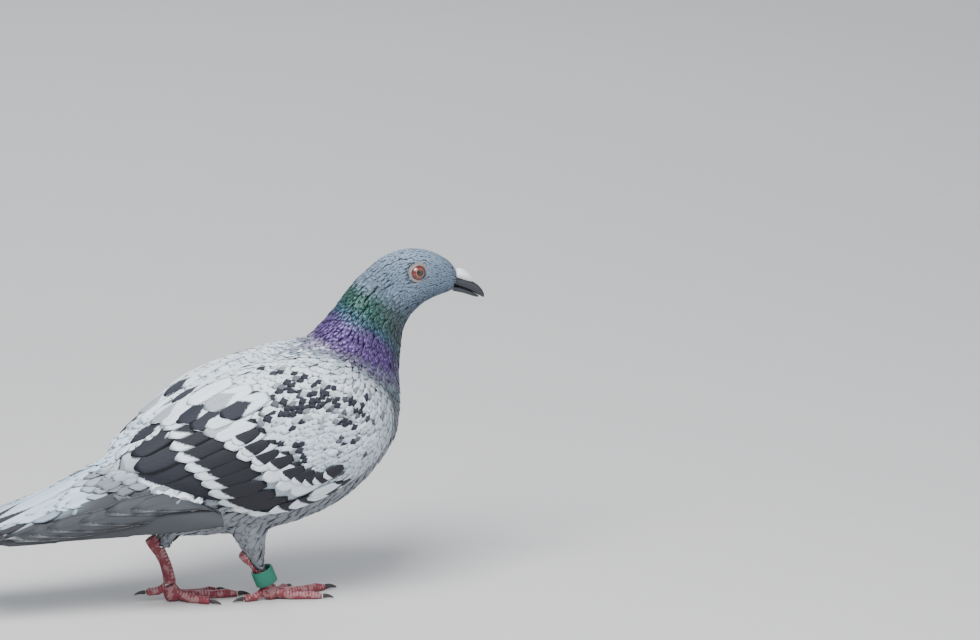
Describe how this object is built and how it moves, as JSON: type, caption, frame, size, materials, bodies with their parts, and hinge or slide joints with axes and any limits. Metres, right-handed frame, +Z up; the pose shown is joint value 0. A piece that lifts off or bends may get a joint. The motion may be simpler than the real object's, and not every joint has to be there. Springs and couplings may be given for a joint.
{
  "type": "pigeon",
  "caption": "Still life-size model of a walking feral pigeon with folded wings and a plain green leg ring.",
  "frame": {"origin": "on the floor under the middle of the bird's box, which runs from the bill's tip to the tail's end", "axes": "+X the way the bird faces, +Y to its left, +Z up"},
  "size_m": [0.3004, 0.0948, 0.1896],
  "materials": {
    "plumage_grey": "soft matt feathers",
    "plumage_head": "smooth short feathers",
    "plumage_neck": "feathers with a green and purple sheen",
    "plumage_tail": "smooth feathers with a dark end band",
    "plumage_wing": "white feathers with dark grey checks",
    "plumage_flight": "smooth dark flight feathers",
    "leg_skin": "scaly skin",
    "claw": "horn",
    "eye": "wet gloss",
    "bill": "horn, satin",
    "cere": "powdery",
    "leg_ring": "satin"
  },
  "bodies": {
    "root": {"bill_lower": "bill", "bill_upper": "bill", "cere": "cere", "claw_hind_left": "claw", "claw_hind_right": "claw", "claw_inner_left": "claw", "claw_inner_right": "claw", "claw_middle_left": "claw", "claw_middle_right": "claw", "claw_outer_left": "claw", "claw_outer_right": "claw", "eye_left": "eye", "eye_right": "eye", "foot_left": "leg_skin", "foot_right": "leg_skin", "head": "plumage_head", "leg_ring": "leg_ring", "neck": "plumage_neck", "quills_left": "plumage_flight", "quills_right": "plumage_flight", "shank_left": "leg_skin", "shank_right": "leg_skin", "tail": "plumage_tail", "thigh_left": "plumage_grey", "thigh_right": "plumage_grey", "toe_hind_left": "leg_skin", "toe_hind_right": "leg_skin", "toe_inner_left": "leg_skin", "toe_inner_right": "leg_skin", "toe_middle_left": "leg_skin", "toe_middle_right": "leg_skin", "toe_outer_left": "leg_skin", "toe_outer_right": "leg_skin", "trunk": "plumage_grey", "wing_left": "plumage_wing", "wing_right": "plumage_wing"}
  },
  "joints": []
}
